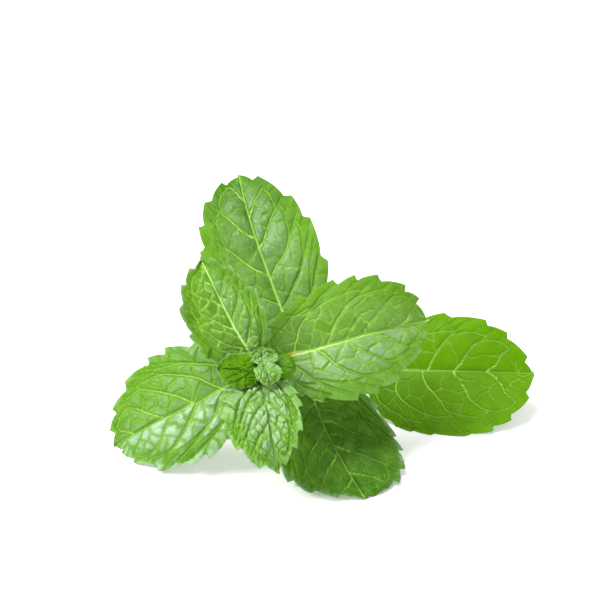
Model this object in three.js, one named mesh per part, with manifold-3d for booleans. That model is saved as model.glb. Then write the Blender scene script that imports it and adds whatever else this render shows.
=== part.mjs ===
// Spearmint sprig: the leafy tip of a square mint stem, lying on a table.
// Four opposite pairs of toothed, quilted leaves stand round the stem, each pair
// turned a quarter from the next, and the growing tip sits at the front.
// Millimetres, +Z up. The tip leans towards -Y and the cut end rests at +Y.
import * as THREE from "three";
import { mergeVertices } from "three/addons/utils/BufferGeometryUtils.js";
import Module from "manifold-3d";

const wasm = await Module();
wasm.setup();

// ---- driving dimensions ----
const bladeThickness = 0.6;
const jointGap = 0.3; // between a petiole and the stem it grows from
const sprigCentre = [7, -4.67, 0]; // middle of the sprig's footprint
const tableBlock = { width: 300, depth: 300, height: 20 }; // its top is at z = 0

// The stem's centre line, from the cut end to the growing tip, and its half width there.
const stemLine = [
  { name: "cut", at: [21, 29, 1.4], half: 1.45 },
  { name: "lowest", at: [13.5, 16.5, 9], half: 1.4 },
  { name: "low", at: [0, 0, 23], half: 1.3 },
  { name: "middle", at: [-7.6, -15.5, 29.4], half: 1.25 },
  { name: "high", at: [-10.4, -21.5, 31.8], half: 1.2 },
  { name: "tip", at: [-10.3, -24.2, 33.4], half: 1 },
];

const green = { leaf: 0x6ea32e, young: 0x86b84a, stem: 0x8fb457 };
const finish = { roughness: 0.55, metalness: 0 };
const smallestDetail = 0.02; // slivers left by the joins are closed up below this

// petiole: length of the stalk from the stem node to the blade, its heading and its rise.
// heading: angle of the midrib over the table, 0 at +X. rise: its angle above the table.
// turn: roll about the midrib, positive towards the leaf's left. arch and bow: how far the
// midrib bends up and to the left at its middle. droop: how far the tip hangs below that arch.
// Pairs are [left, right] halves. half: half width. point: how pointed. fold: slope at the
// midrib. curl: slope lost by the margin. puff: height of the quilting between the side veins.
const leaves = [
  {
    name: "leaf_far_right", node: "lowest", petiole: [6, -25, 5], rows: 32, columns: 10,
    heading: -8, rise: 4.4, turn: -47, length: 46.8, half: [15.8, 19.1], fullness: [1.02, 0.92],
    point: [0.45, 0], lobe: [0, 0], arch: 2, bow: 0, droop: 1,
    fold: [8, 8], curl: [10, 10], puff: 0.5, tooth: 1.1, wave: 0.4,
  },
  {
    name: "leaf_back", node: "low", petiole: [5, 110, 55], rows: 32, columns: 10,
    heading: 119, rise: 46.8, turn: 25, length: 48.6, half: [15.3, 15.8], fullness: [1.02, 1.1],
    point: [0.1, 0.2], lobe: [13, 13], arch: 4, bow: 1.5, droop: 2,
    fold: [12, 12], curl: [16, 16], puff: 0.6, tooth: 1.2, wave: 0.5,
  },
  {
    name: "leaf_low_front", node: "low", petiole: [3.5, -75, -25], rows: 32, columns: 10,
    heading: -63, rise: -31, turn: -4, length: 41.2, half: [17.4, 17], fullness: [0.8, 0.96],
    point: [-0.45, -0.05], lobe: [1.5, 1.5], arch: -4.5, bow: 0, droop: 0,
    fold: [8, 14], curl: [20, 24], puff: 0.6, tooth: 1.2, wave: 0.8,
  },
  {
    name: "leaf_right", node: "middle", petiole: [4, 15, 35], rows: 32, columns: 10,
    heading: 18, rise: 6, turn: -51, length: 40.6, half: [16, 15.5], fullness: [1.05, 1.25],
    point: [0, 0.7], lobe: [14, 9], arch: 3, bow: 0, droop: 1,
    fold: [14, 14], curl: [20, 20], puff: 0.7, tooth: 1.2, wave: 0.5,
  },
  {
    name: "leaf_left", node: "middle", petiole: [7.5, 185, -30], rows: 32, columns: 10,
    heading: 173.5, rise: -32.5, turn: 51, length: 44.3, half: [14.7, 16.2], fullness: [1.2, 1.15],
    point: [0.8, 0.6], lobe: [3, 3], arch: 3, bow: 0, droop: 1,
    fold: [11, 14], curl: [20, 20], puff: 0.7, tooth: 1.3, wave: 0.5,
  },
  {
    name: "leaf_upper_left", node: "high", petiole: [4.5, 145, 45], rows: 32, columns: 10,
    heading: 131, rise: 45, turn: 38, length: 28.4, half: [11, 8.8], fullness: [1.2, 1.2],
    point: [0.4, 0.8], lobe: [3, 3], arch: 3, bow: 0, droop: 0,
    fold: [16, 16], curl: [20, 20], puff: 0.8, tooth: 1, wave: 0.8,
  },
  {
    name: "leaf_front", node: "high", petiole: [3.5, -90, -45], rows: 32, columns: 10,
    heading: -77, rise: -36, turn: -10, length: 23.2, half: [8.2, 10.8], fullness: [1.2, 1.2],
    point: [0.6, 0.6], lobe: [0.5, 3], arch: 5, bow: 0, droop: 0,
    fold: [16, 16], curl: [30, 30], puff: 0.9, tooth: 1, wave: 0.8,
  },
  {
    name: "young_leaf_left", node: "tip", petiole: [3, 215, -10], rows: 12, columns: 6,
    heading: 174, rise: 8, turn: 39, length: 9, half: [4.2, 4], fullness: [1, 1],
    point: [0.1, 0.1], lobe: [1, 0.4], arch: 1, bow: 0, droop: 0.6,
    fold: [14, 14], curl: [40, 40], puff: 0.4, tooth: 0.6, wave: 0.3,
  },
  {
    name: "young_leaf_right", node: "tip", petiole: [3, 35, 10], rows: 12, columns: 6,
    heading: -6, rise: 0, turn: -34, length: 5.4, half: [2.7, 2.4], fullness: [1, 1],
    point: [0.1, 0.1], lobe: [0.4, 0.4], arch: 0.6, bow: 0, droop: 0.4,
    fold: [14, 14], curl: [40, 40], puff: 0.3, tooth: 0.4, wave: 0.2,
  },
];

// The growing tip: two folded leaflets on a round core, fused into one piece.
const bud = { core: [-9.9, -25.9, 34.9], radius: 1.3 };
const budLeaflets = [
  {
    name: "bud_upper", base: [-10, -25.6, 35.4], rows: 12, columns: 6,
    heading: 93, rise: 40, turn: 0, length: 5.4, half: [2.7, 3.5], fullness: [0.9, 0.9],
    point: [0.1, 0.1], lobe: [0.4, 0.4], arch: -1, bow: 0, droop: 0.5,
    fold: [20, 20], curl: [30, 30], puff: 0.4, tooth: 0.4, wave: 0.3,
  },
  {
    name: "bud_lower", base: [-10, -26.1, 35.4], rows: 12, columns: 6,
    heading: -68, rise: -18, turn: 0, length: 5, half: [3.1, 2.5], fullness: [0.9, 0.9],
    point: [0.1, 0.1], lobe: [0.4, 0.4], arch: 1, bow: 0, droop: 0.5,
    fold: [20, 20], curl: [30, 30], puff: 0.4, tooth: 0.4, wave: 0.3,
  },
];

const rowsPerTooth = 4; // one tooth at the end of each side vein
const outlineAngles = { base: 0.07, tip: 3.11 }; // round the blade, 0 at the petiole
const toothPeak = 0.75; // where in its row a tooth is highest, nearer the leaf's tip
const lobeReach = 0.6; // angle from the petiole within which the base lobes swell back
const smoothMargin = [0.08, 0.35]; // shares of the length between which the teeth grow in
const rib = { below: 0.35, sides: 6, stations: 11, thick: 0.85, thin: 0.35, fullLength: 24 };
const stemSquare = { round: 1.08, corner: 0.14, sides: 12, stations: 26 };
const largeLeaf = 20; // a leaf longer than this has its full colour

const radians = THREE.MathUtils.degToRad;
const smoothstep = THREE.MathUtils.smoothstep;
const fraction = (value) => value - Math.floor(value);

// ---- the blade laid flat: x along the midrib, y to its left ----
function outlinePoint(leaf, angle, side) {
  const share = (1 - Math.cos(angle)) / 2;
  const lobe = leaf.lobe[side] * Math.sin(angle) * Math.exp(-((angle / lobeReach) ** 2));
  const sharpness = 0.9 + leaf.point[side] * share * share;
  return new THREE.Vector2(
    leaf.length * share ** leaf.fullness[side] - lobe, leaf.half[side] * Math.sin(angle) ** sharpness);
}

function toothHeight(leaf, along) {
  const phase = fraction((along * leaf.rows - 1) / rowsPerTooth);
  const profile = phase < toothPeak ? (phase / toothPeak) ** 0.7 : (1 - phase) / (1 - toothPeak);
  return leaf.tooth * profile * smoothstep(along, ...smoothMargin);
}

function flatPoint(leaf, along, across) {
  const side = across < 0 ? 1 : 0;
  const t = Math.abs(across);
  const angle = THREE.MathUtils.lerp(outlineAngles.base, outlineAngles.tip, along);
  const share = (1 - Math.cos(angle)) / 2;
  const root = leaf.length * (0.5 * share ** 2.5 + 0.5 * share ** 10);
  const edge = outlinePoint(leaf, angle, side);
  const ahead = outlinePoint(leaf, angle + 0.01, side).sub(edge).normalize();
  const reach = THREE.MathUtils.lerp(t ** 5, 1, smoothstep(along, 0.92, 1));
  const rise = toothHeight(leaf, along) * reach;
  const hook = 0.5 * rise * rise / leaf.tooth;
  return {
    room: Math.min(1, edge.y / 5),
    x: root + (edge.x - root) * (0.25 * t + 0.75 * t * t) - ahead.y * rise + ahead.x * hook,
    y: edge.y * (1.1 * t - 0.1 * t * t) + ahead.x * rise + ahead.y * hook,
    side,
    t,
    along,
  };
}

function quilting(leaf, flat) {
  const phase = fraction((flat.along * leaf.rows) / rowsPerTooth);
  const row = Math.floor((flat.along * leaf.rows) / rowsPerTooth);
  const cells = 0.75 + 0.25 * Math.cos(Math.PI * (5 * flat.t + row));
  const ends = flat.room ** 2 * smoothstep(flat.t, 0, 0.2) * (1 - 0.6 * flat.t ** 3);
  return leaf.puff * 4 * phase * (1 - phase) * cells * ends;
}

// ---- the blade bent to shape, in the leaf's own frame: X base to tip, Y left, Z up ----
function midribFrame(leaf, u) {
  const late = Math.max(0, u - 0.5);
  const bend = 4 * u * (1 - u);
  const slope = 4 * (1 - 2 * u);
  const point = new THREE.Vector3(
    leaf.length * u, leaf.bow * bend, leaf.arch * bend - 4 * leaf.droop * late * late);
  const ahead = new THREE.Vector3(
    leaf.length, leaf.bow * slope, leaf.arch * slope - 8 * leaf.droop * late).normalize();
  const up = new THREE.Vector3(0, 0, 1).addScaledVector(ahead, -ahead.z).normalize();
  const left = new THREE.Vector3().crossVectors(up, ahead);
  return { point, ahead, up, left };
}

function bladePoint(leaf, flat, lift) {
  const frame = midribFrame(leaf, flat.x / leaf.length);
  const way = flat.side ? -1 : 1;
  const fold = radians(leaf.fold[flat.side]);
  const bend = radians(leaf.curl[flat.side]) / leaf.half[flat.side];
  const slope = fold - bend * flat.y;
  const sideways = (Math.sin(fold) - Math.sin(slope)) / bend;
  const height = (Math.cos(slope) - Math.cos(fold)) / bend;
  const wave = leaf.wave * flat.t * flat.t * Math.sin(9 * flat.x / leaf.length + way);
  return frame.point
    .addScaledVector(frame.left, way * (sideways - lift * Math.sin(slope)))
    .addScaledVector(frame.up, height + wave + lift * Math.cos(slope));
}

// ---- closed solids ----
function solidFrom(geometry) {
  const bare = geometry.index ? geometry.clone() : mergeVertices(geometry);
  bare.deleteAttribute("normal");
  bare.deleteAttribute("uv");
  const merged = mergeVertices(bare, 1e-4);
  const solid = new wasm.Manifold(new wasm.Mesh({
    numProp: 3,
    vertProperties: new Float32Array(merged.attributes.position.array),
    triVerts: new Uint32Array(merged.index.array),
  }));
  if (solid.volume() < 0) throw new Error("the faces point inwards");
  return solid;
}

function geometryFrom(solid) {
  const mesh = solid.asOriginal().simplify(smallestDetail).getMesh();
  const geometry = new THREE.BufferGeometry();
  geometry.setAttribute("position", new THREE.BufferAttribute(mesh.vertProperties, 3));
  geometry.setIndex(new THREE.BufferAttribute(mesh.triVerts, 1));
  geometry.computeVertexNormals();
  return geometry;
}

// A sheet with the same triangles on both faces and a rim between them.
function closedSheet(rows, columns, place) {
  const positions = [];
  for (const face of [1, -1])
    for (let i = 0; i <= rows; i++)
      for (let j = 0; j <= columns; j++)
        positions.push(...place(i / rows, (2 * j) / columns - 1, face));
  const corner = (face, i, j) => (face * (rows + 1) + i) * (columns + 1) + j;
  const index = [];
  const quad = (a, b, c, d) => index.push(a, b, c, a, c, d);
  for (let i = 0; i < rows; i++)
    for (let j = 0; j < columns; j++) {
      // The diagonal follows the side veins, so it turns over at the midrib.
      const turned = j >= columns / 2;
      const cell = [[i, j], [i + 1, j], [i + 1, j + 1], [i, j + 1]];
      if (turned) cell.push(cell.shift());
      quad(...cell.map(([r, c]) => corner(0, r, c)));
      const [p, q, r, s] = cell.map(([m, n]) => corner(1, m, n));
      index.push(p, r, q, p, s, r);
    }
  // The rim: from each edge of the upper face, in turn, down to the lower face.
  const rim = (i, j, k, l) => quad(corner(0, i, j), corner(0, k, l), corner(1, k, l), corner(1, i, j));
  for (let i = 0; i < rows; i++) {
    rim(i, columns, i + 1, columns);
    rim(i + 1, 0, i, 0);
  }
  for (let j = 0; j < columns; j++) {
    rim(0, j, 0, j + 1);
    rim(rows, j + 1, rows, j);
  }
  const geometry = new THREE.BufferGeometry();
  geometry.setAttribute("position", new THREE.Float32BufferAttribute(positions, 3));
  geometry.setIndex(index);
  return geometry;
}

// A tube along a curve. radius(k, turn) is its size at share k of the length.
function sweptTube(curve, sides, stations, radius) {
  const geometry = new THREE.CylinderGeometry(1, 1, 1, sides, stations);
  const position = geometry.attributes.position;
  const vertex = new THREE.Vector3();
  for (let i = 0; i < position.count; i++) {
    vertex.fromBufferAttribute(position, i);
    const share = Math.min(1, Math.max(0, 0.5 - vertex.y));
    const turn = Math.atan2(vertex.z, vertex.x);
    const size = Math.hypot(vertex.x, vertex.z) * radius(share, turn);
    const ahead = curve.getTangentAt(share);
    const up = new THREE.Vector3(0, 0, 1).addScaledVector(ahead, -ahead.z).normalize();
    const left = new THREE.Vector3().crossVectors(up, ahead);
    vertex.copy(curve.getPointAt(share))
      .addScaledVector(left, size * Math.cos(turn))
      .addScaledVector(up, size * Math.sin(turn));
    position.setXYZ(i, vertex.x, vertex.y, vertex.z);
  }
  return geometry;
}

// ---- the pieces ----
const stemCurve = new THREE.CatmullRomCurve3(stemLine.map((p) => new THREE.Vector3(...p.at)));
const stemNode = Object.fromEntries(stemLine.map((p) => [p.name, p]));

function direction(heading, rise) {
  const level = Math.cos(radians(rise));
  return new THREE.Vector3(
    level * Math.cos(radians(heading)), level * Math.sin(radians(heading)), Math.sin(radians(rise)));
}

// A blade begins where its petiole ends. The bud's leaflets have none and state their base.
function bladeBase(leaf) {
  if (!leaf.petiole) return new THREE.Vector3(...leaf.base);
  const [length, heading, rise] = leaf.petiole;
  return new THREE.Vector3(...stemNode[leaf.node].at).addScaledVector(direction(heading, rise), length);
}

function leafMatrix(leaf) {
  const ahead = direction(leaf.heading, leaf.rise);
  const up = new THREE.Vector3(0, 0, 1).addScaledVector(ahead, -ahead.z).normalize();
  up.applyAxisAngle(ahead, -radians(leaf.turn));
  const left = new THREE.Vector3().crossVectors(up, ahead);
  return new THREE.Matrix4().makeBasis(ahead, left, up).setPosition(bladeBase(leaf));
}

function bladeGeometry(leaf) {
  return closedSheet(leaf.rows, leaf.columns, (along, across, face) => {
    const flat = flatPoint(leaf, along, across);
    return bladePoint(leaf, flat, quilting(leaf, flat) + (face * bladeThickness) / 2);
  });
}

// The petiole leaves the stem and runs on under the blade as its midrib.
function ribSolid(leaf, matrix) {
  const node = stemNode[leaf.node];
  const centre = new THREE.Vector3(...node.at).applyMatrix4(matrix.clone().invert());
  const stemReach = (stemSquare.round + stemSquare.corner) * node.half;
  const clearance = stemReach + jointGap + rib.below;
  const start = centre.clone().multiplyScalar(1 - clearance / centre.length());
  const path = [start, centre.clone().multiplyScalar(0.2)];
  for (const u of [0.05, 0.2, 0.4, 0.6, 0.8, 0.93]) {
    const frame = midribFrame(leaf, u);
    path.push(frame.point.addScaledVector(frame.up, -rib.below));
  }
  const size = 0.3 + 0.7 * Math.min(1, leaf.length / rib.fullLength);
  const radius = (k) => THREE.MathUtils.lerp(rib.thick, rib.thin, k) * size;
  return solidFrom(sweptTube(new THREE.CatmullRomCurve3(path), rib.sides, rib.stations, radius));
}

const sprig = new THREE.Group();
sprig.name = "spearmint_sprig";

function addPiece(name, geometry, colour, matrix) {
  const material = new THREE.MeshStandardMaterial({ color: colour, ...finish });
  const mesh = new THREE.Mesh(geometry, material);
  mesh.name = name;
  if (matrix) matrix.decompose(mesh.position, mesh.quaternion, mesh.scale);
  sprig.add(mesh);
}

function stemSolid() {
  const stations = stemLine.length - 1;
  const radius = (k, turn) => {
    const place = stemCurve.getUtoTmapping(k) * stations;
    const i = Math.min(stations - 1, Math.floor(place));
    const half = THREE.MathUtils.lerp(stemLine[i].half, stemLine[i + 1].half, place - i);
    return half * (stemSquare.round + stemSquare.corner * Math.cos(4 * turn));
  };
  return solidFrom(sweptTube(stemCurve, stemSquare.sides, stemSquare.stations, radius));
}

function budSolid() {
  let solid = solidFrom(new THREE.SphereGeometry(bud.radius, 12, 8).translate(...bud.core));
  for (const leaflet of budLeaflets)
    solid = solid.add(solidFrom(bladeGeometry(leaflet).applyMatrix4(leafMatrix(leaflet))));
  return solid;
}

// Whatever touches the table is pressed flat against it.
function pressed(solid, matrix) {
  const { width, depth, height } = tableBlock;
  const block = new THREE.BoxGeometry(width, depth, height).translate(0, 0, -height / 2);
  const table = solidFrom(block.applyMatrix4(matrix.clone().invert()));
  return solid.intersect(table).isEmpty() ? solid : solid.subtract(table);
}

addPiece("stem", geometryFrom(pressed(stemSolid(), new THREE.Matrix4())), green.stem);
for (const leaf of leaves) {
  const matrix = leafMatrix(leaf);
  const solid = pressed(solidFrom(bladeGeometry(leaf)).add(ribSolid(leaf, matrix)), matrix);
  const colour = leaf.length > largeLeaf ? green.leaf : green.young;
  addPiece(leaf.name, geometryFrom(solid), colour, matrix);
}
addPiece("terminal_bud", geometryFrom(budSolid()), green.young);
sprig.position.set(...sprigCentre).negate();

export default sprig;
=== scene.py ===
import math

import bmesh
import bpy
import numpy as np
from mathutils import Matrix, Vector


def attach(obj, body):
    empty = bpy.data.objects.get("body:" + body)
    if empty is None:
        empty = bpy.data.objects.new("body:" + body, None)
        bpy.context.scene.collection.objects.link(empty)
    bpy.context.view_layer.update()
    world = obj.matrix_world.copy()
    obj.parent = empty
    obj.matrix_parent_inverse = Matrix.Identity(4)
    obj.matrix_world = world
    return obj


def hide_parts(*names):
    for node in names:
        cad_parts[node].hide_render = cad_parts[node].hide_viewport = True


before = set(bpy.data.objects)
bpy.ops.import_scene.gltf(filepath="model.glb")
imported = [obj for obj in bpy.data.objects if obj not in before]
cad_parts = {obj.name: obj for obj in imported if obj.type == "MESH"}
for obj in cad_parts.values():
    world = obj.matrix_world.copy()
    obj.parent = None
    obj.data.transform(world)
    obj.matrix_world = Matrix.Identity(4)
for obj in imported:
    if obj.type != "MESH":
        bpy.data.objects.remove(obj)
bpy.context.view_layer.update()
print("frame loaded")

millimetre = 0.001
sprigCentre = np.array([7.0, -4.67, 0.0])  # middle of the footprint, in the sprig's own millimetres


class Signal:  # one socket of a finish; sums on it add Math nodes
    def __init__(self, finish, socket):
        self.finish = finish
        self.socket = socket

    def math(self, operation, first, second):
        return self.finish.node("ShaderNodeMath", {"operation": operation}, {0: first, 1: second})

    def __add__(self, other):
        return self.math("ADD", self, other)

    def __radd__(self, other):
        return self.math("ADD", other, self)

    def __sub__(self, other):
        return self.math("SUBTRACT", self, other)

    def __rsub__(self, other):
        return self.math("SUBTRACT", other, self)

    def __mul__(self, other):
        return self.math("MULTIPLY", self, other)

    def __rmul__(self, other):
        return self.math("MULTIPLY", other, self)

    def __pow__(self, other):
        return self.math("POWER", self, other)


class Finish:  # a material and the nodes in it
    def __init__(self, name):
        self.material = bpy.data.materials.new(name)
        self.material.use_nodes = True
        self.tree = self.material.node_tree
        self.tree.nodes.clear()
        self.place = self.node("ShaderNodeTexCoord", output="Object")

    def node(self, kind, settings=None, sockets=None, output=0):
        made = self.tree.nodes.new(kind)
        for name, value in (settings or {}).items():
            setattr(made, name, value)
        for name, value in (sockets or {}).items():
            if isinstance(value, Signal):
                self.tree.links.new(value.socket, made.inputs[name])
            else:
                made.inputs[name].default_value = value
        return Signal(self, made.outputs[output]) if made.outputs else None

    def painted(self, name):  # a value stored on the mesh
        return self.node("ShaderNodeAttribute", {"attribute_name": name}, output="Fac")

    def noise(self, scale, detail, roughness=0.55):
        return self.node("ShaderNodeTexNoise", {}, {
            "Vector": self.place, "Scale": scale, "Detail": detail, "Roughness": roughness})

    def between(self, value, low, high):  # 0 below low, 1 above high
        return self.node("ShaderNodeMapRange", {"interpolation_type": "SMOOTHSTEP"}, {
            "Value": value, "From Min": low, "From Max": high})

    def blend(self, share, first, second):
        first, second = (value if isinstance(value, Signal) else (*value, 1) for value in (first, second))
        return self.node("ShaderNodeMix", {"data_type": "RGBA"}, {0: share, 6: first, 7: second}, output=2)

    def bump(self, height, distance, strength):
        return self.node("ShaderNodeBump", {}, {
            "Height": height, "Distance": distance, "Strength": strength})

    def close(self, colour, roughness, normal, steady):
        sockets = {"Base Color": colour, "Roughness": roughness, "Normal": normal, **steady}
        surface = self.node("ShaderNodeBsdfPrincipled", {}, sockets)
        self.node("ShaderNodeOutputMaterial", {}, {"Surface": surface})
        return self.material


def glow(weight, depth, blue):  # light that scatters inside the plant
    return {"Subsurface Weight": weight, "Subsurface Scale": depth, "Subsurface Radius": (0.6, 1.0, blue)}


leafFinish = {
    "valley": (0.04, 0.165, 0.0),    # painted shade where the blade dips to a vein
    "field": (0.11, 0.265, 0.001),   # top of the cells between the veins
    "streak": (0.14, 0.31, 0.005),
    "paintedSheen": (0.25, 0.38, 0.235),    # painted sheen: a pale cast that stands in for light reflected off the tops of the cells
    "vein": (0.5, 0.75, 0.15),
    "rib": (0.56, 0.8, 0.34),
    "warm": (0.62, 0.4, 0.02),       # orange foot of a midrib
    "dark": (0.024, 0.105, 0.0),     # what painted shade turns a blade to
    "roughness": 0.42,
    "wax": 1.7,                      # coat that lies with the painted sheen
    "waxRoughness": 0.36,
    "crown": 2.5,                    # how closely the painted sheen and the wax keep to the tops of the cells
    "mottle": 260.0,                 # noise scales
    "fleck": 1500.0,
    "glow": 0.35,
    "depth": 0.0007,
}


def leafTop():  # reads the values that paintBlade stores
    finish = Finish("leafTop")
    vein = finish.painted("vein")
    dome = finish.painted("dome")
    paintedSheen = finish.painted("paintedSheen")
    shade = finish.painted("shade")
    mottle = finish.noise(leafFinish["mottle"], 4.0)
    fleck = finish.noise(leafFinish["fleck"], 2.0)
    crown = dome ** leafFinish["crown"]
    patchy = 0.2 + 0.9 * finish.painted("tone") + 1.1 * finish.between(mottle, 0.3, 0.7)
    # painted shade: the dips between the cells darken towards the valley green
    blade = finish.blend(dome, leafFinish["valley"], leafFinish["field"])
    # painted shade: the shade value darkens the blade
    blade = finish.blend(shade, blade, leafFinish["dark"])
    # painted sheen: a pale cast on the tops of the cells, standing in for reflected light
    blade = finish.blend(paintedSheen * (1.0 - 0.8 * shade) * crown * patchy, blade, leafFinish["paintedSheen"])
    blade = finish.blend(0.3 * finish.between(mottle, 0.35, 0.75), blade, leafFinish["streak"])
    colour = finish.blend(vein, blade, leafFinish["vein"])
    colour = finish.blend(finish.between(vein, 0.6, 0.95), colour, leafFinish["rib"])
    colour = finish.blend(finish.painted("warm"), colour, leafFinish["warm"])
    roughness = leafFinish["roughness"] + 0.14 * vein + 0.1 * (fleck - 0.5)
    grain = finish.bump(fleck + 0.4 * mottle, 0.00012, 0.8)
    return finish.close(colour, roughness, grain, {
        **glow(leafFinish["glow"], leafFinish["depth"], 0.12), "Specular IOR Level": 0.03,
        "Coat Weight": paintedSheen * leafFinish["wax"] * crown + 0.01,
        "Coat Roughness": leafFinish["waxRoughness"]})


underFace = {
    "blade": (0.21, 0.34, 0.12),
    "patch": (0.2, 0.36, 0.09),
    "vein": (0.33, 0.45, 0.19),
    "roughness": 0.62,
    "mottle": 420.0,
    "fleck": 2200.0,
}


def leafUnder():
    finish = Finish("leafUnder")
    mottle = finish.noise(underFace["mottle"], 4.0)
    patch = 0.3 * finish.painted("tone") + 0.5 * mottle
    blade = finish.blend(patch, underFace["blade"], underFace["patch"])
    colour = finish.blend(finish.between(finish.painted("vein"), 0.1, 0.8), blade, underFace["vein"])
    grain = finish.bump(finish.noise(underFace["fleck"], 2.0), 0.00005, 0.7)
    return finish.close(colour, underFace["roughness"] + 0.1 * mottle, grain, {
        **glow(leafFinish["glow"], leafFinish["depth"], 0.12), "Specular IOR Level": 0.35})


stalkFinish = {
    "low": (0.26, 0.42, 0.07),
    "high": (0.34, 0.5, 0.12),
    "warm": (0.5, 0.38, 0.04),  # orange end at the stem
    "fibre": 240.0,
    "roughness": 0.45,
    "glow": 0.3,
}


def stalkSkin():
    finish = Finish("stalkSkin")
    fibre = finish.noise(stalkFinish["fibre"], 5.0, 0.6)
    colour = finish.blend(finish.between(fibre, 0.3, 0.7), stalkFinish["low"], stalkFinish["high"])
    colour = finish.blend(finish.painted("warm"), colour, stalkFinish["warm"])
    return finish.close(colour, stalkFinish["roughness"] + 0.15 * fibre, finish.bump(fibre, 0.0001, 0.5),
                        glow(stalkFinish["glow"], 0.001, 0.15))


stemFinish = {
    "groove": (0.26, 0.44, 0.07),
    "ridge": (0.4, 0.57, 0.16),
    "patch": (0.33, 0.3, 0.1),  # brownish stretches
    "strand": (0.5, 0.64, 0.25),
    "cut": (0.62, 0.66, 0.36),
    "fibre": 300.0,
    "blotch": 70.0,
    "roughness": 0.4,
    "glow": 0.2,
}


def stemSkin():
    finish = Finish("stemSkin")
    fibre = finish.noise(stemFinish["fibre"], 5.0, 0.6)
    patch = finish.between(finish.noise(stemFinish["blotch"], 2.0), 0.5, 0.8)
    strand = finish.between(fibre, 0.45, 0.75)
    colour = finish.blend(finish.painted("ridge"), stemFinish["groove"], stemFinish["ridge"])
    colour = finish.blend(0.45 * patch, colour, stemFinish["patch"])
    colour = finish.blend(0.4 * strand, colour, stemFinish["strand"])
    colour = finish.blend(finish.painted("cut"), colour, stemFinish["cut"])
    return finish.close(colour, stemFinish["roughness"] + 0.25 * fibre, finish.bump(fibre, 0.00012, 0.6),
                        glow(stemFinish["glow"], 0.001, 0.15))


topFace = leafTop()
backFace = leafUnder()
stalkCover = stalkSkin()
stemCover = stemSkin()
print("finishes made")


# a leaf blade laid flat: x along the midrib, y away from it on either side, in millimetres
def eased(value, low, high):
    share = np.clip((value - low) / (high - low), 0.0, 1.0)
    return share * share * (3.0 - 2.0 * share)


def halfValue(leaf, name, isRight):  # the left or the right half's own value
    return np.where(isRight, leaf[name][1], leaf[name][0])


marginTurn = {"start": 0.07, "sweep": 3.04}  # angles round the outline, from the petiole to the tip


def outline(leaf, angle, isRight):
    share = (1.0 - np.cos(angle)) / 2.0
    lobe = halfValue(leaf, "lobe", isRight) * np.sin(angle) * np.exp(-((angle / 0.6) ** 2))
    sharpness = 0.9 + halfValue(leaf, "point", isRight) * share * share
    return np.stack([
        leaf["length"] * share ** halfValue(leaf, "fullness", isRight) - lobe,
        halfValue(leaf, "half", isRight) * np.sin(angle) ** sharpness], -1)


toothForm = {
    "peak": 0.75,           # where in its spacing a tooth is highest
    "swell": 0.7,           # rounds the long side
    "grown": (0.08, 0.35),  # between these shares of the margin the teeth grow to full size
}


def toothRise(leaf, along, isRight):  # evenly spaced teeth that wander a little, with one at the leaf's tip
    wander = leaf["uneven"] * 4.0 * along * (1.0 - along) * np.sin(20.0 * along + leaf["seed"])
    index = (halfValue(leaf, "teeth", isRight) + 1.0) * (along + wander)
    peak = toothForm["peak"]
    phase = (index - (1.0 - peak)) % 1.0
    profile = np.where(phase < peak, (phase / peak) ** toothForm["swell"], (1.0 - phase) / (1.0 - peak))
    return leaf["tooth"] * profile * eased(along, *toothForm["grown"])


def laidFlat(leaf, along, across):
    isRight = across < 0
    t = np.abs(across)
    angle = marginTurn["start"] + marginTurn["sweep"] * along
    share = (1.0 - np.cos(angle)) / 2.0
    root = leaf["length"] * (0.5 * share ** 2.5 + 0.5 * share ** 10)
    edge = outline(leaf, angle, isRight)
    ahead = outline(leaf, angle + 0.01, isRight) - edge
    ahead /= np.linalg.norm(ahead, axis=-1, keepdims=True)
    reach = t ** 5 + (1.0 - t ** 5) * eased(along, 0.92, 1.0)
    rise = toothRise(leaf, along, isRight) * reach
    hook = 0.5 * rise * rise / leaf["tooth"]
    x = root + (edge[..., 0] - root) * (0.25 * t + 0.75 * t * t) - ahead[..., 1] * rise + ahead[..., 0] * hook
    y = edge[..., 1] * (1.1 * t - 0.1 * t * t) + ahead[..., 0] * rise + ahead[..., 1] * hook
    room = np.minimum(1.0, edge[..., 1] / (0.32 * halfValue(leaf, "half", isRight)))
    return {"x": x, "y": y, "t": t, "isRight": isRight, "along": along, "room": room}


# the veins of the flat blade
def marginAt(leaf, x, isRight):  # how far the margin is from the midrib beside x
    angles = np.linspace(marginTurn["start"], marginTurn["start"] + marginTurn["sweep"], 200)
    edge = outline(leaf, angles, np.full(200, isRight))
    start = edge[:, 0].argmin()
    return np.interp(x, edge[start:, 0], edge[start:, 1])


def rootOf(leaf, x, y, isRight):  # where the side vein through a point leaves the midrib, 0 to 1
    half = halfValue(leaf, "half", isRight)
    start, gain, arcing = leaf["lean"]
    q = y / half
    return (x - half * (start * q + arcing * q ** 3 / 3.0)) / (leaf["length"] + half * gain * q)


def veinPoint(leaf, root, t, isRight):  # on the side vein from that root, t of the way to the margin
    root, t = np.broadcast_arrays(np.asarray(root, float), np.asarray(t, float))
    half = leaf["half"][int(isRight)]
    start, gain, arcing = leaf["lean"]
    y = 0.7 * t * half
    for attempt in range(12):  # x and y depend on each other and settle
        q = y / half
        x = root * leaf["length"] + half * ((start + gain * root) * q + arcing * q ** 3 / 3.0)
        y = 0.5 * y + 0.5 * t * marginAt(leaf, x, isRight)
    return np.stack([x, y], -1)


def veinMarks(leaf, isRight):  # where the side veins leave the midrib; the gaps widen towards the tip
    first, last, count = leaf["veins"][int(isRight)]
    return first + (last - first) * np.linspace(0.0, 1.0, count) ** leaf["widening"]


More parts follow.
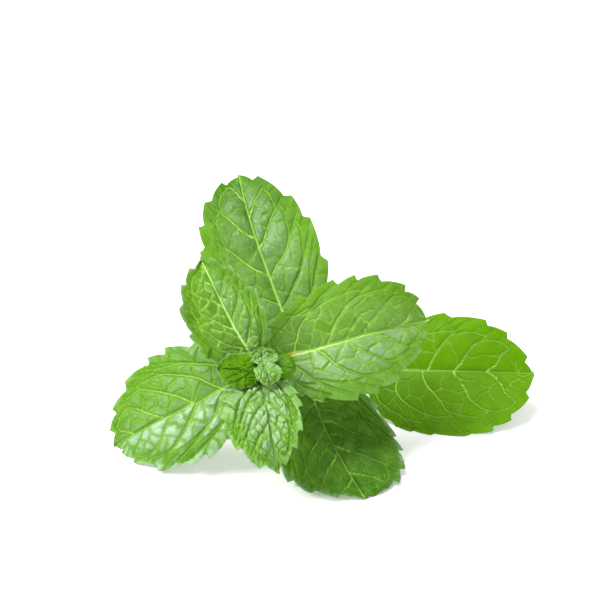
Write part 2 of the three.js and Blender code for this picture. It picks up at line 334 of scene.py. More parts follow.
veinForm = {
    "fork": (0.6, 0.14),                        # how far out the loop starts, and the spread of that
    "sway": 0.014,
    "loopAlong": (0.0, 0.25, 0.55, 0.82, 1.0),  # the loop: shares of the gap to the next side vein
    "loopOut": (0.0, 0.07, 0.12, 0.12, 0.1),    # and how far outside the fork it is there
    "rim": 0.97,                                # where the twigs end
    "backward": 0.12,                           # how far a twig leans towards the vein behind it
    "strength": {"side": 1.0, "loop": 0.75, "middle": 0.5, "twig": 0.6, "faint": 0.6},
}


def sideVeins(leaf, isRight, chance):  # every side vein with its loop to the next and its twigs to the margin
    marks = veinMarks(leaf, isRight)
    strength = veinForm["strength"]
    lines = []
    for k, mark in enumerate(marks):
        fork = veinForm["fork"][0] + veinForm["fork"][1] * chance.random()
        sway = chance.uniform(-veinForm["sway"], veinForm["sway"], 2)
        reach = np.linspace(0.0, 1.0, 10)
        swayed = mark + sway[0] * np.sin(math.pi * reach) + sway[1] * np.sin(2.0 * math.pi * reach)
        lines.append((veinPoint(leaf, swayed, fork * reach, isRight), strength["side"]))
        if k + 1 < len(marks):
            gap = marks[k + 1] - mark
            loop = mark + gap * np.array(veinForm["loopAlong"])
            out = fork + np.array(veinForm["loopOut"])
            lines.append((veinPoint(leaf, loop, out, isRight), strength["loop"]))
            out = np.linspace(fork + 0.11, veinForm["rim"], 4)
            lines.append((veinPoint(leaf, mark + gap * 0.5, out, isRight), strength["middle"]))
        behind = marks[k - 1] if k else 0.0
        leaning = mark - veinForm["backward"] * (mark - behind) * np.linspace(0.0, 1.0, 4)
        out = np.linspace(fork, veinForm["rim"], 4)
        lines.append((veinPoint(leaf, leaning, out, isRight), strength["twig"]))
    for gap in leaf["faint"][int(isRight)]:  # a short vein halfway between two side veins
        mark = (marks[gap] + marks[gap + 1]) / 2.0
        out = np.linspace(0.0, 0.35 + 0.2 * chance.random(), 6)
        lines.append((veinPoint(leaf, mark, out, isRight), strength["faint"]))
    return lines


def distanceToLines(points, lines):  # to the nearest line, and how strong that line is
    best = np.full(len(points), 1e9)
    strength = np.zeros(len(points))
    for line, weight in lines:
        for start, end in zip(line[:-1], line[1:]):
            run = end - start
            share = np.clip((points - start) @ run / max(run @ run, 1e-9), 0.0, 1.0)
            away = np.linalg.norm(points - start - share[:, None] * run, axis=1)
            nearer = away < best
            best = np.where(nearer, away, best)
            strength = np.where(nearer, weight, strength)
    return best, strength


def nearestCell(points, seeds, penalty=0.0):  # the cell each point is in, and how far its wall is
    gaps = ((points[:, None, :] - seeds[None, :, :]) ** 2).sum(-1) + penalty
    order = np.argsort(gaps, axis=1)[:, :2]
    rows = np.arange(len(points))
    first, second = order[:, 0], order[:, 1]
    apart = np.linalg.norm(seeds[second] - seeds[first], axis=1) + 1e-6
    wall = (gaps[rows, second] - gaps[rows, first]) / (2.0 * apart)
    return first, wall


def scattered(leaf, low, high, size, isRight, chance):  # seeds of cells in one strip between two side veins
    middle = veinPoint(leaf, np.array([low, high]), np.full(2, 0.5), isRight)
    wide = 0.85 * np.linalg.norm(middle[1] - middle[0])
    long = 1.2 * middle[:, 1].max() / 0.5
    count = max(2, round(long / size))
    seeds = []
    for i in range(count):
        t = (i + 0.5) / count
        across = max(1, round(wide / size * (0.75 + 0.5 * chance.random() + 0.5 * (t > 0.7))))
        for j in range(across):
            slip = chance.uniform(-0.32, 0.32, 2)
            place = low + (high - low) * (j + 0.5 + slip[0]) / across
            seeds.append((place, min(1.0, (i + 0.5 + slip[1] + 0.3 * (j % 2)) / count)))
    place, t = np.array(seeds).T
    return veinPoint(leaf, place, t, isRight)


def wandering(points, reach, size, chance):  # bends the straight walls between cells
    turns = chance.uniform(0.0, 6.28, 4)
    x, y = points[:, 0] / size, points[:, 1] / size
    return points + reach * np.stack([
        np.sin(2.1 * y + 0.8 * x + turns[0]) + 0.5 * np.sin(4.7 * y - 2.9 * x + turns[1]),
        np.sin(1.9 * x - 0.9 * y + turns[2]) + 0.5 * np.sin(4.3 * x + 3.1 * y + turns[3])], -1)


def veinNet(leaf, flat):  # per point: how far the veins and cell walls are, and its cell's own values
    chance = np.random.default_rng(leaf["seed"])
    points = np.stack([flat["x"], flat["y"]], -1)
    root = rootOf(leaf, flat["x"], flat["y"], flat["isRight"])
    bentPoints = wandering(points, 0.09 * leaf["cell"], 0.6 * leaf["cell"], chance)
    layers = ("side", "strength", "third", "fourth", "tone", "phase", "facet")
    net = {name: np.zeros(len(points)) for name in layers}
    for isRight in (False, True):
        here = flat["isRight"] == isRight
        steadier = 0.7 * points[here] + 0.3 * bentPoints[here]
        near, strength = distanceToLines(steadier, sideVeins(leaf, isRight, chance))
        net["side"][here], net["strength"][here] = near, strength
        marks = [root[here].min() - 0.01, *veinMarks(leaf, isRight), root[here].max() + 0.01]
        index = np.interp(root, marks, range(len(marks)))
        net["phase"][here] = index[here] % 1.0
        for k, (low, high) in enumerate(zip(marks[:-1], marks[1:])):
            strip = here & (index.astype(int) == k)
            if not strip.any():
                continue
            cells = scattered(leaf, low, high, leaf["cell"], isRight, chance)
            first, wall = nearestCell(bentPoints[strip], cells)
            net["third"][strip] = wall
            net["tone"][strip] = chance.random(len(cells))[first]
            leaning = chance.uniform(-1.0, 1.0, (len(cells), 2))[first]
            net["facet"][strip] = ((points[strip] - cells[first]) * leaning).sum(-1) / leaf["cell"]
            grains = scattered(leaf, low, high, leaf["grain"], isRight, chance)
            owner = nearestCell(grains, cells)[0]
            elsewhere = 1e4 * (owner[None, :] != first[:, None])
            net["fourth"][strip] = nearestCell(bentPoints[strip], grains, elsewhere)[1]
    return net


# the blade bent to shape: X base to tip, Y left, Z up
def unit(vectors):
    return vectors / np.linalg.norm(vectors, axis=-1, keepdims=True)


def midrib(leaf, u):
    late = np.maximum(0.0, u - 0.5)
    bend = 4.0 * u * (1.0 - u)
    slope = 4.0 * (1.0 - 2.0 * u)
    length = leaf["length"]
    point = np.stack([
        length * u, leaf["bow"] * bend, leaf["arch"] * bend - 4.0 * leaf["droop"] * late * late], -1)
    ahead = unit(np.stack([
        length + 0.0 * u, leaf["bow"] * slope, leaf["arch"] * slope - 8.0 * leaf["droop"] * late], -1))
    up = unit(np.array([0.0, 0.0, 1.0]) - ahead * ahead[..., 2:])
    return point, up, np.cross(up, ahead)


def bent(leaf, flat, lift):
    point, up, left = midrib(leaf, flat["x"] / leaf["length"])
    way = np.where(flat["isRight"], -1.0, 1.0)
    fold = np.radians(halfValue(leaf, "fold", flat["isRight"]))
    bend = np.radians(halfValue(leaf, "curl", flat["isRight"])) / halfValue(leaf, "half", flat["isRight"])
    slope = fold - bend * flat["y"]
    sideways = (np.sin(fold) - np.sin(slope)) / bend
    height = (np.cos(slope) - np.cos(fold)) / bend
    wave = leaf["wave"] * flat["t"] ** 2 * np.sin(9.0 * flat["x"] / leaf["length"] + way)
    sideways -= lift * np.sin(slope) * eased(flat["y"], 0.0, 1.0)
    return (point + left * (way * sideways)[..., None]
            + up * (height + wave + lift * np.cos(slope))[..., None])


def direction(heading, rise):  # degrees over the table, 0 at +X, and above it
    heading, rise = math.radians(heading), math.radians(rise)
    return np.array([math.cos(rise) * math.cos(heading), math.cos(rise) * math.sin(heading), math.sin(rise)])


def stemNode(leaf):
    return np.array(stem["line"][stem["nodes"][leaf["joint"]]], float)


def bladeBase(leaf):  # where the petiole ends; the bud's leaflets have none and state their base
    if "petiole" not in leaf:
        return np.array(leaf["base"], float)
    length, heading, rise = leaf["petiole"]
    return stemNode(leaf) + length * direction(heading, rise)


def leafAxes(leaf):
    turn = math.radians(leaf["turn"])
    ahead = direction(leaf["heading"], leaf["rise"])
    up = unit(np.array([0.0, 0.0, 1.0]) - ahead * ahead[2])
    up = up * math.cos(turn) - np.cross(ahead, up) * math.sin(turn)
    return np.stack([ahead, np.cross(up, ahead), up], 1)


def inPlace(leaf, points):  # from the leaf's own frame to the sprig's, in metres
    return (points @ leafAxes(leaf).T + bladeBase(leaf) - sprigCentre) * millimetre


def meshFrom(bm, name):
    mesh = bpy.data.meshes.new(name)
    bm.to_mesh(mesh)
    bm.free()
    return mesh


def verticesOf(mesh):
    values = np.zeros(len(mesh.vertices) * 3, np.float32)
    mesh.vertices.foreach_get("co", values)
    return values.reshape(-1, 3)


def storeOn(mesh, name, values):
    mesh.attributes.new(name, "FLOAT", "POINT").data.foreach_set("value", values.astype(np.float32))


def placed(name, data):
    made = bpy.data.objects.new(name, data)
    bpy.context.scene.collection.objects.link(made)
    return made


def dressed(piece, node):
    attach(piece, "root")
    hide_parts(node)


bladeBuild = {
    "spacing": 0.23,
    "thickness": 0.36,
    "lift": 0.1,
    "clear": 0.06,       # least gap to the table
    "ribHeight": 0.16,
    "fullLength": 30.0,  # shorter leaves have finer veins
}


def bladeGrid(name, leaf):
    rows = int(leaf["length"] * 1.15 / bladeBuild["spacing"] * leaf["density"])
    columns = 2 * int(max(leaf["half"]) * 1.05 / bladeBuild["spacing"] * leaf["density"])
    bm = bmesh.new()
    bm.loops.layers.uv.new("blade")
    bmesh.ops.create_grid(bm, x_segments=rows, y_segments=columns, size=1.0, calc_uvs=True)
    return meshFrom(bm, name)


def pillow(distance, width):
    share = np.clip(distance / width, 0.0, 1.0)
    return 1.0 - (1.0 - share) ** 2


def wallsOf(leaf, flat):  # adds the midrib, in its own half widths, and the nearest walls to the net
    net = veinNet(leaf, flat)
    along = flat["along"]
    scale = min(1.0, leaf["length"] / bladeBuild["fullLength"])
    side = np.where(flat["isRight"], -flat["y"], flat["y"])
    rib = np.abs(side - 0.28 * scale * np.sin(15.0 * along + leaf["seed"]) * along * (1.0 - along) * 4.0)
    ribWidth = (0.15 + 0.24 * (1.0 - flat["x"] / leaf["length"])) * scale * leaf["ribWidth"]
    toSide = np.minimum(net["side"], rib)
    toThird = np.minimum(toSide, net["third"])
    grains = pillow(np.minimum(toThird, net["fourth"]), 0.42 * leaf["grain"])
    return {
        **net, "scale": scale, "rib": rib / ribWidth, "toSide": toSide, "toThird": toThird, "grains": grains}


def reliefOf(leaf, flat, walls):  # how far the upper face stands off the bent sheet
    isRight = flat["isRight"]
    calm = flat["room"] ** 2 * (1.0 - 0.55 * flat["t"] ** 4)
    cells = pillow(walls["toThird"], 0.17 * leaf["cell"])
    quilt = 4.0 * walls["phase"] * (1.0 - walls["phase"]) * eased(flat["t"], 0.0, 0.2)
    pucker = 0.65 * cells + 0.5 * pillow(walls["toSide"], 0.9 * walls["scale"])
    pucker += leaf["tilt"] * cells * walls["facet"]
    relief = calm * (halfValue(leaf, "quilt", isRight) * quilt + halfValue(leaf, "pucker", isRight) * pucker
                     + leaf["crinkle"] * walls["grains"])
    curled = np.clip((flat["t"] - 0.78) / 0.22, 0.0, 1.0) ** 2
    relief += halfValue(leaf, "roll", isRight) * curled * eased(flat["along"], 0.1, 0.3)
    relief += bladeBuild["ribHeight"] * np.exp(-(walls["rib"] ** 2)) * walls["scale"] * (1.0 - flat["along"])
    return relief + bladeBuild["lift"]


def paintBlade(mesh, leaf, flat, walls):
    t, along = flat["t"], flat["along"]
    paintedSheen = halfValue(leaf, "paintedSheen", flat["isRight"])
    rib = np.exp(-(walls["rib"] ** 4)) * (1.0 - leaf["ribFade"] * eased(along, 0.3, 0.9))
    width = np.maximum(0.16, 0.21 - 0.1 * t) * leaf["veinWidth"] * walls["scale"]
    side = 0.85 * np.exp(-((walls["side"] / width) ** 2)) * walls["strength"]
    side *= 1.0 - 0.45 * eased(t, 0.3, 0.95)
    third = leaf["net"] * (1.0 - 0.6 * eased(t, 0.55, 0.9))
    third *= np.exp(-((walls["toThird"] / (0.16 * walls["scale"])) ** 2))
    vein = np.maximum(rib, np.maximum(side, third) * (1.0 - 0.35 * paintedSheen)) * leaf["veinStrength"]
    # dome: 0 in the dips, where the painted shade goes, up to 1 on the cell tops, where the painted sheen
    # goes
    dome = 0.35 * eased(walls["toSide"], 0.0, 0.7 * walls["scale"])
    dome += 0.45 * eased(walls["toThird"], 0.0, leaf["valley"] * leaf["cell"])
    dome += 0.2 * walls["grains"]
    paleRim = leaf["paleRim"] * eased(t, 0.9, 1.0)
    storeOn(mesh, "vein", np.clip(vein, 0.0, 1.0))
    storeOn(mesh, "dome", dome)
    storeOn(mesh, "tone", walls["tone"])
    storeOn(mesh, "warm", leaf["warm"] * rib * (1.0 - eased(flat["x"], 1.5, 5.0)))
    # painted sheen, less of it towards the margin and more on the rim itself
    storeOn(mesh, "paintedSheen", paintedSheen * (1.0 - leaf["sheenFadeAtRim"] * eased(t, 0.55, 0.95)) + paleRim)
    # painted shade, with more of it from tipFrom to the tip
    storeOn(mesh, "shade", leaf["shade"] + leaf["tipShade"] * eased(along, leaf["tipFrom"], 0.9))


def makeBlade(name, leaf):
    mesh = bladeGrid(name, leaf)
    grid = verticesOf(mesh).astype(float)
    along = np.clip((grid[:, 0] + 1.0) / 2.0, 0.0, 1.0)
    flat = laidFlat(leaf, along, np.clip(grid[:, 1], -1.0, 1.0))
    walls = wallsOf(leaf, flat)
    points = inPlace(leaf, bent(leaf, flat, reliefOf(leaf, flat, walls)))
    floorGap = (bladeBuild["thickness"] + bladeBuild["clear"]) * millimetre
    points[:, 2] = np.maximum(points[:, 2], floorGap)  # the lower face stays above the table
    mesh.vertices.foreach_set("co", points.ravel())
    paintBlade(mesh, leaf, flat, walls)
    mesh.materials.append(topFace)
    mesh.materials.append(backFace)
    mesh.shade_smooth()
    blade = placed(name, mesh)
    solid = blade.modifiers.new("thickness", "SOLIDIFY")
    solid.thickness = bladeBuild["thickness"] * millimetre
    solid.offset = -1.0
    solid.material_offset = 1
    return blade


# tubes: the stem and the leaf stalks
def smoothPath(corners, count):  # a Catmull-Rom curve through the corners
    corners = np.array(corners, float)
    ends = np.vstack([2 * corners[0] - corners[1], corners, 2 * corners[-1] - corners[-2]])
    place = np.linspace(0.0, len(corners) - 1.0, 40 * len(corners))
    k = np.minimum(place.astype(int), len(corners) - 2)
    s = (place - k)[:, None]
    a, b, c, d = (ends[k + step] for step in range(4))
    square = 2 * a - 5 * b + 4 * c - d
    cubic = 3 * b - a - 3 * c + d
    curve = 0.5 * (2 * b + (c - a) * s + square * s ** 2 + cubic * s ** 3)
    travelled = np.concatenate([[0.0], np.cumsum(np.linalg.norm(np.diff(curve, axis=0), axis=1))])
    even = np.linspace(0.0, travelled[-1], count)
    share = np.interp(even, travelled, place) / (len(corners) - 1.0)
    return np.stack([np.interp(even, travelled, curve[:, axis]) for axis in range(3)], 1), share


def makeTube(name, corners, build, radius):  # radius(k, turn) in millimetres; turn is 90 degrees on top
    bm = bmesh.new()
    rings = build["rings"]
    bmesh.ops.create_grid(bm, x_segments=rings, y_segments=build["sides"], size=1.0)
    line = smoothPath(corners, rings + 1)[0]
    ahead = unit(np.gradient(line, axis=0))
    up = unit(np.array([0.0, 0.0, 1.0]) - ahead * ahead[:, 2:])
    left = np.cross(up, ahead)
    for vertex in bm.verts:
        ring = round((vertex.co.x + 1.0) / 2.0 * rings)
        turn = -math.pi * (vertex.co.y + 1.0)
        size = radius(ring / rings, turn)
        point = line[ring] + size * (math.cos(turn) * left[ring] + math.sin(turn) * up[ring])
        vertex.co = (point - sprigCentre) * millimetre
    bmesh.ops.remove_doubles(bm, verts=bm.verts, dist=1e-7)
    bmesh.ops.holes_fill(bm, edges=[edge for edge in bm.edges if edge.is_boundary])
    bmesh.ops.recalc_face_normals(bm, faces=bm.faces)
    mesh = meshFrom(bm, name)
    mesh.shade_smooth()
    return placed(name, mesh), line


def nearestRing(mesh, line):  # per vertex: the ring it belongs to, and how far it is from the tube's middle
    points = verticesOf(mesh) / millimetre + sprigCentre
    nearest = np.argmin(((points[:, None] - line[None]) ** 2).sum(-1), axis=1)
    return nearest, np.linalg.norm(points - line[nearest], axis=1)


stem = {
    "line": [
        (21, 29, 1.6), (13.5, 16.5, 9), (0, 0, 23), (-7.6, -15.5, 29.4), (-10.4, -21.5, 31.8),
        (-10.3, -24.2, 33.4)],
    "half": [1.45, 1.4, 1.3, 1.25, 1.2, 1.0],
    "nodes": {"lowest": 1, "low": 2, "middle": 3, "high": 4, "tip": 5},  # the points that leaves grow from
    "swollen": ("lowest", "low", "middle"),
    "swelling": 0.16,
    "rings": 260,
    "sides": 72,
}


def makeStem():
    rings = stem["rings"]
    share = smoothPath(stem["line"], rings + 1)[1]
    even = np.linspace(0, 1, rings + 1)

    def radius(k, turn):
        place = np.interp(k, even, share) * (len(stem["half"]) - 1)
        half = np.interp(place, range(len(stem["half"])), stem["half"])
        nodes = (stem["nodes"][name] for name in stem["swollen"])
        swollen = stem["swelling"] * sum(math.exp(-(((place - node) / 0.07) ** 2)) for node in nodes)
        ridges = 1.06 + 0.13 * math.cos(4 * turn) + 0.02 * math.cos(12 * turn) + 0.008 * math.cos(36 * turn)
        return half * ridges * (1.0 + swollen)

    piece, line = makeTube("stem", stem["line"], stem, radius)
    nearest, away = nearestRing(piece.data, line)
    storeOn(piece.data, "ridge", eased(away, 1.25, 1.75))
    storeOn(piece.data, "cut", (nearest == 0) * 1.0)
    piece.data.materials.append(stemCover)
    dressed(piece, "stem")


makeStem()
print("stem made")


stalk = {
    "sunk": 0.7,      # starts this far from the middle of the stem
    "under": (0.06, 0.2, 0.4, 0.6, 0.8, 0.94),  # shares of the blade's length that it runs below
    "below": 0.05,
    "thin": 0.22,     # radius at the blade's tip
    "thick": 0.68,    # what the foot has over that
    "channel": 0.22,  # depth of the groove on top, as a share of the radius
    "rings": 90,
    "sides": 20,
}


def makeStalk(name, leaf):  # grows out of the stem and runs on under the blade as its midrib
    axes = leafAxes(leaf)
    centre = (stemNode(leaf) - bladeBase(leaf)) @ axes
    start = centre * (1.0 - stalk["sunk"] / np.linalg.norm(centre))
    corners = [start, centre * 0.45, centre * 0.15]
    for u in stalk["under"]:
        point, up, _ = midrib(leaf, np.array([u]))
        corners.append((point - up * (bladeBuild["thickness"] + stalk["below"]))[0])
    corners = np.array(corners) @ axes.T + bladeBase(leaf)
    size = min(1.0, 0.3 + leaf["length"] / 45.0)  # short leaves have thinner stalks

    def radius(k, turn):
        channel = 1.0 - stalk["channel"] * max(0.0, math.sin(turn)) ** 3
        return size * (stalk["thin"] + stalk["thick"] * (1.0 - k) ** 1.3) * channel

    piece, line = makeTube(name + "Stalk", corners, stalk, radius)
    share = nearestRing(piece.data, line)[0] / stalk["rings"]
    storeOn(piece.data, "warm", leaf["warm"] * (1.0 - eased(share, 0.02, 0.16)))
    piece.data.materials.append(stalkCover)
    return piece


# the leaves; a pair of values is for the left and the right half, in millimetres and degrees
# heading and rise: the midrib's angle over the table, 0 at +X, and above it; turn: the roll about it
# fullness, point, lobe: how near its foot it is widest, how pointed the tip is, how far the foot runs back
# arch, bow, droop, wave: the midrib's rise, its sideways bend, the fall of its tip, the margin's waves
# fold, curl: each half's slope at the midrib and how much of it is lost towards the margin
# veins: the first and last side vein's place on the midrib, and their number; faint: gaps with a short vein
# lean: a side vein's slope at the midrib, what it gains towards the tip, how much it curves forwards
# cell, grain: sizes of the two finer nets; quilt, pucker, crinkle: relief of the side veins and of each net
# tilt: how much single cells lean; roll: how far the margin turns up; density: grid lines, 1 for a large leaf
# net: how pale the cells' walls are; valley: how wide the painted shade in the dips beside them is, in cells
# paintedSheen: painted sheen, a pale cast for light off the cell tops; sheenFadeAtRim: how much of it the
# margin loses; paleRim: more painted sheen on the rim itself
# shade: painted shade, how dark the blade is; tipShade: the painted shade it gains from tipFrom to the tip;
# warm: orange foot
common = {
    "bow": 0, "droop": 0,
    "uneven": 0.02, "density": 1.0,
    "faint": ((), ()), "widening": 1.2, "lean": (0.6, 0.8, 2.0),
    "cell": 3.8, "grain": 1.35, "quilt": (0.5, 0.5), "crinkle": 0.06, "tilt": 0.9, "roll": (0.0, 0.0),
    "net": 0.3, "veinStrength": 0.9, "veinWidth": 1.0, "valley": 0.15, "ribWidth": 1.0, "ribFade": 0.3,
    "sheenFadeAtRim": 0.8, "paleRim": 0.0, "shade": 0.0, "tipShade": 0.0, "tipFrom": 0.5, "warm": 0.0,
}
leaves = {
    "leafFarRight": {
        "node": "leaf_far_right", "joint": "lowest", "petiole": (6, -25, 5),
        "heading": -8, "rise": 4.4, "turn": -47, "length": 46.8, "half": (15.5, 19),
        "fullness": (1.02, 0.98), "point": (0.45, 0), "lobe": (0, 0),
        "arch": 2, "droop": 1, "fold": (8, 8), "curl": (10, 10), "wave": 0.4,
        "tooth": 1.4, "teeth": (7, 8), "seed": 11,
        "veins": ((0.1, 0.75, 5), (0.05, 0.75, 5)), "lean": (0.1, 1.0, 1.3),
        "cell": 5.4, "quilt": (0.3, 0.3), "pucker": (0.26, 0.26), "crinkle": 0.02,
        "veinStrength": 0.85, "veinWidth": 0.85, "ribWidth": 1.2, "ribFade": 0.7,
        "paintedSheen": (0.0, 0.02), "sheenFadeAtRim": 0, "shade": 0.15,
    },
    "leafBack": {
        "node": "leaf_back", "joint": "low", "petiole": (5, 110, 55),
        "heading": 119, "rise": 46.8, "turn": 25, "length": 48.6, "half": (15, 15.9),
        "fullness": (1.02, 1.1), "point": (0.1, 0.5), "lobe": (13, 13),
        "arch": 4, "bow": 1.5, "droop": 2, "fold": (12, 12), "curl": (16, 16), "wave": 0.5,
        "tooth": 1.6, "teeth": (8, 6), "seed": 12,
        "veins": ((0.05, 0.85, 5), (0.05, 0.75, 5)), "lean": (0.6, 0.9, 1.6),
        "cell": 4.3, "quilt": (0.35, 0.45), "pucker": (0.34, 0.34),
        "net": 0.35, "veinStrength": 1.0, "veinWidth": 0.85, "valley": 0.12, "ribWidth": 1.2, "ribFade": 0.5,
        "paintedSheen": (0.3, 0.45), "shade": 0.08, "tipShade": 0.75,
    },
    "leafLowFront": {
        "node": "leaf_low_front", "joint": "low", "petiole": (3.5, -75, -25),
        "heading": -63, "rise": -31, "turn": -4, "length": 41.2, "half": (17, 16.6),
        "fullness": (0.8, 0.96), "point": (-0.45, -0.05), "lobe": (1.5, 1.5),
        "arch": -4.5, "fold": (8, 14), "curl": (20, 24), "wave": 0.8,
        "tooth": 1.7, "teeth": (7, 7), "seed": 13,
        "veins": ((0.05, 0.8, 5), (0.1, 0.85, 5)), "faint": ((1, 2), (1, 2)), "lean": (0.5, 0.5, 2.0),
        "pucker": (0.65, 0.65),
        "net": 0.25, "veinStrength": 0.65,
        "paintedSheen": (0.12, 0.12), "sheenFadeAtRim": 0, "paleRim": 0.5, "shade": 0.32, "tipShade": 0.55,
        "tipFrom": 0.25,
    },
    "leafRight": {
        "node": "leaf_right", "joint": "middle", "petiole": (4, 15, 35),
        "heading": 18, "rise": 6, "turn": -51, "length": 40.6, "half": (15.4, 15),
        "fullness": (1.05, 1.25), "point": (0, 0.7), "lobe": (14, 9),
        "arch": 3, "droop": 1, "fold": (14, 14), "curl": (20, 20), "wave": 0.5,
        "tooth": 1.8, "teeth": (8, 8), "seed": 14,
        "veins": ((-0.1, 0.8, 5), (-0.1, 0.85, 6)), "faint": ((2,), ()), "lean": (0.3, 1.5, 2.0),
        "cell": 4.0, "quilt": (0.2, 0.3), "pucker": (0.42, 0.6),
        "net": 0.5, "veinStrength": 1.0, "veinWidth": 1.1, "ribWidth": 1.7, "ribFade": 0.4,
        "paintedSheen": (0.2, 0.55), "sheenFadeAtRim": 0.6, "shade": 0.2, "warm": 0.9,
    },
    "leafLeft": {
        "node": "leaf_left", "joint": "middle", "petiole": (7.5, 185, -30),
        "heading": 173.5, "rise": -32.5, "turn": 51, "length": 44.3, "half": (14.2, 15.6),
        "fullness": (1.2, 1.15), "point": (0.8, 0.6), "lobe": (3, 3),
        "arch": 3, "droop": 1, "fold": (11, 14), "curl": (20, 20), "wave": 0.5,
        "tooth": 2.0, "teeth": (8, 8), "seed": 15,
        "veins": ((0.0, 0.75, 5), (0.0, 0.85, 5)), "lean": (0.85, 0.3, 2.6),
        "quilt": (0.75, 0.4), "pucker": (0.32, 0.42),
        "veinStrength": 1.0, "valley": 0.28, "ribWidth": 1.6, "ribFade": 0.75,
        "paintedSheen": (1.0, 0.3), "sheenFadeAtRim": 0.3, "shade": 0.26,
    },
    "leafUpperLeft": {
        "node": "leaf_upper_left", "joint": "high", "petiole": (4.5, 145, 45),
        "heading": 131, "rise": 45, "turn": 38, "length": 28.4, "half": (10.6, 8.6),
        "fullness": (1.2, 1.2), "point": (0.4, 0.8), "lobe": (3, 3),
        "arch": 3, "fold": (16, 16), "curl": (20, 20), "wave": 0.8,
        "tooth": 1.4, "teeth": (7, 6), "seed": 16,
        "veins": ((-0.05, 0.75, 5), (-0.05, 0.6, 4)), "lean": (0.7, 0.6, 2.5),
        "cell": 2.7, "grain": 1.1, "quilt": (0.25, 0.4), "pucker": (0.75, 0.75), "roll": (1.0, 0.8),
        "net": 0.5, "veinStrength": 1.0, "ribWidth": 1.4, "ribFade": 0.2,
        "paintedSheen": (0.15, 0.4), "paleRim": 0.3, "shade": 0.5,
    },
    "leafFront": {
        "node": "leaf_front", "joint": "high", "petiole": (3.5, -90, -45),
        "heading": -77, "rise": -36, "turn": -10, "length": 23.2, "half": (8, 10.9),
        "fullness": (1.2, 1.2), "point": (0.6, 0.6), "lobe": (0.5, 3),
        "arch": 5, "fold": (16, 16), "curl": (30, 30), "wave": 0.8,
        "tooth": 1.4, "teeth": (7, 5), "seed": 17, "density": 1.25,
        "veins": ((-0.05, 0.8, 5), (-0.05, 0.8, 5)), "lean": (0.9, 0.1, 2.5),
        "cell": 2.1, "grain": 0.95, "quilt": (0.3, 0.3), "pucker": (1.0, 1.0), "crinkle": 0.14,
        "roll": (0.6, 1.0),
        "ribWidth": 1.3, "ribFade": 0.5,
        "paintedSheen": (0.6, 0.6), "sheenFadeAtRim": 0.5,
    },
    "youngLeafLeft": {
        "node": "young_leaf_left", "joint": "tip", "petiole": (2, 235, -10),
        "heading": 174, "rise": 8, "turn": 39, "length": 9.6, "half": (4.4, 4.4),
        "fullness": (1, 1), "point": (0.1, 0.1), "lobe": (1, 0.4),
        "arch": 1, "droop": 0.6, "fold": (14, 14), "curl": (40, 40), "wave": 0.3,
        "tooth": 0.6, "teeth": (3, 3), "seed": 18, "density": 1.8,
        "veins": ((0.2, 0.7, 3), (0.2, 0.7, 3)),
        "cell": 1.5, "grain": 0.7, "quilt": (0.2, 0.2), "pucker": (0.6, 0.6), "crinkle": 0.2,
        "roll": (0.4, 0.7),
        "veinStrength": 0.45,
        "paintedSheen": (0.0, 0.0), "paleRim": 0.3, "shade": 0.6,
    },
    "youngLeafRight": {
        "node": "young_leaf_right", "joint": "tip", "petiole": (3, 30, 5),
        "heading": -8, "rise": 0, "turn": -34, "length": 6.2, "half": (3.9, 3),
        "fullness": (1, 1), "point": (0.1, 0.1), "lobe": (0.4, 0.4),
        "arch": 0.6, "droop": 0.4, "fold": (14, 14), "curl": (40, 40), "wave": 0.2,
        "tooth": 0.4, "teeth": (3, 3), "seed": 19, "density": 2.2,
        "veins": ((0.15, 0.85, 4), (0.15, 0.85, 4)),
        "cell": 0.7, "grain": 0.4, "quilt": (0.2, 0.2), "pucker": (0.2, 0.2), "crinkle": 0.04,
        "veinStrength": 0.3,
        "paintedSheen": (0.1, 0.1), "shade": 0.5,
    },
}
youngLength = 20  # shorter leaves are young ones

for name, own in leaves.items():
    leaf = {**common, **own}
    slotName = "young_leaf" if leaf["length"] < youngLength else "leaf"
    dressed(makeBlade(name, leaf), leaf["node"])
    dressed(makeStalk(name, leaf), leaf["node"])
    print(name, "made")


# the growing tip
budCommon = {
    "fullness": (0.9, 0.9), "point": (0.1, 0.1), "lobe": (0.4, 0.4),
    "droop": 0.5, "fold": (20, 20), "curl": (30, 30), "wave": 0.3,
    "tooth": 0.4, "teeth": (4, 4), "density": 2.6,
    "veins": ((0.25, 0.6, 2), (0.25, 0.6, 2)),
    "cell": 1.35, "grain": 0.65, "quilt": (0.1, 0.1), "pucker": (0.5, 0.5), "crinkle": 0.1,
    "roll": (0.3, 0.3),
    "net": 0.5, "veinStrength": 0.8,
    "paintedSheen": (0.42, 0.42), "sheenFadeAtRim": 0.2,
}
budLeaves = {
    "budUpper": {
        "base": (-10, -25.6, 35.4),
        "heading": 93, "rise": 40, "turn": 0, "length": 5.4, "half": (3.3, 3.9),
        "arch": -1,
        "seed": 21,
    },
    "budLower": {
        "base": (-10, -26.1, 35.4),
        "heading": -68, "rise": -18, "turn": 0, "length": 5, "half": (3.7, 2.9),
        "arch": 1,
        "seed": 22,
    },
}
budCore = {
    "at": (-9.9, -26.0, 34.9), "radii": (1.7, 1.6, 1.7),
    "folds": 0.16, "count": 46, "seed": 31,
    "shade": 0.25, "paintedSheen": 0.35,
}


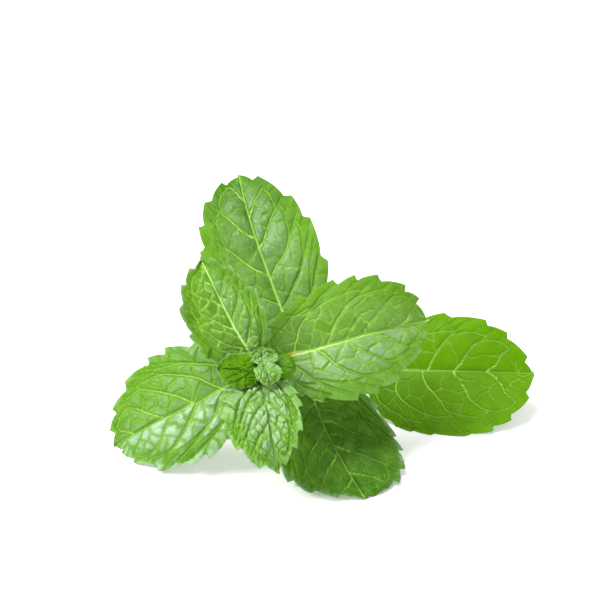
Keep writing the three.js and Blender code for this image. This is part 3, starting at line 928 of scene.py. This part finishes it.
def makeCore(name, core):  # still folded leaves packed in the middle
    bm = bmesh.new()
    bmesh.ops.create_icosphere(bm, subdivisions=6, radius=1.0)
    mesh = meshFrom(bm, name)
    ways = verticesOf(mesh).astype(float)
    seeds = unit(np.random.default_rng(core["seed"]).normal(size=(core["count"], 3)))
    swell = eased(nearestCell(ways, seeds)[1], 0.0, 0.16)
    points = ways * np.array(core["radii"]) * (1.0 + core["folds"] * (swell - 0.7))[:, None]
    mesh.vertices.foreach_set("co", ((points + np.array(core["at"]) - sprigCentre) * millimetre).ravel())
    storeOn(mesh, "dome", swell)
    # the painted sheen and the painted shade are the same all over the core
    steady = {"vein": 0.0, "warm": 0.0, "tone": 0.5, "paintedSheen": core["paintedSheen"], "shade": core["shade"]}
    for attribute, value in steady.items():
        storeOn(mesh, attribute, np.full(len(ways), value))
    mesh.materials.append(topFace)
    mesh.shade_smooth()
    return placed(name, mesh)


for name, own in budLeaves.items():
    dressed(makeBlade(name, {**common, **budCommon, **own}), "terminal_bud")
dressed(makeCore("budCore", budCore), "terminal_bud")
print("bud made")


studio = {
    "paper": 0.93,      # grey of the floor
    "flecks": 0.03,
    "lift": 0.16,       # light of the floor's own, which pales the shadows
    "reach": 3.0,
    "world": 0.87,
    "lights": {
        "topSoft": {"at": (-0.3, -0.05, 1.0), "size": 0.45, "power": 9.6},
        "leftSoft": {"at": (-0.8, -0.35, 0.75), "size": 0.35, "power": 8.2},
    },
    "lit": (0.0, 0.0, 0.03),  # where the lights point
    "target": (-7.0, 12.67, 36.8), "distance": 600.0, "elevation": 30.0, "lens": 128.57,
}


def aim(holder, place, target):
    holder.location = place
    holder.rotation_euler = Vector(target - place).to_track_quat("-Z", "Y").to_euler()


def makeFloor():
    bm = bmesh.new()
    bmesh.ops.create_grid(bm, x_segments=1, y_segments=1, size=studio["reach"])
    floor = placed("floor", meshFrom(bm, "floor"))
    paper = Finish("paper")
    grain = paper.noise(900.0, 2.0)
    tint = paper.blend(grain * 0.2, (studio["paper"],) * 3, (studio["paper"] - studio["flecks"],) * 3)
    floor.data.materials.append(paper.close(tint, 0.7, paper.bump(grain, 0.00002, 0.2), {
        "Specular IOR Level": 0.2, "Emission Color": (1, 1, 1, 1), "Emission Strength": studio["lift"]}))


def makeLights():
    world = bpy.data.worlds.new("studio")
    bpy.context.scene.world = world
    world.use_nodes = True
    sky = world.node_tree.nodes["Background"].inputs
    sky["Color"].default_value = (1, 1, 1, 1)
    sky["Strength"].default_value = studio["world"]
    for name, light in studio["lights"].items():
        lamp = bpy.data.lights.new(name, "AREA")
        lamp.shape = "SQUARE"
        lamp.size = light["size"]
        lamp.energy = light["power"]
        aim(placed(name, lamp), np.array(light["at"]), np.array(studio["lit"]))


def makeCamera():
    camera = bpy.data.cameras.new("camera")
    camera.lens = studio["lens"]
    camera.sensor_width = 36.0
    camera.clip_start = 0.01
    tilt = math.radians(studio["elevation"])
    target = np.array(studio["target"]) * millimetre
    away = np.array([0.0, -math.cos(tilt), math.sin(tilt)]) * studio["distance"] * millimetre
    holder = placed("camera", camera)
    aim(holder, target + away, target)
    bpy.context.scene.camera = holder


makeFloor()
makeLights()
makeCamera()
bpy.context.scene.view_settings.view_transform = "Standard"
print("studio ready")
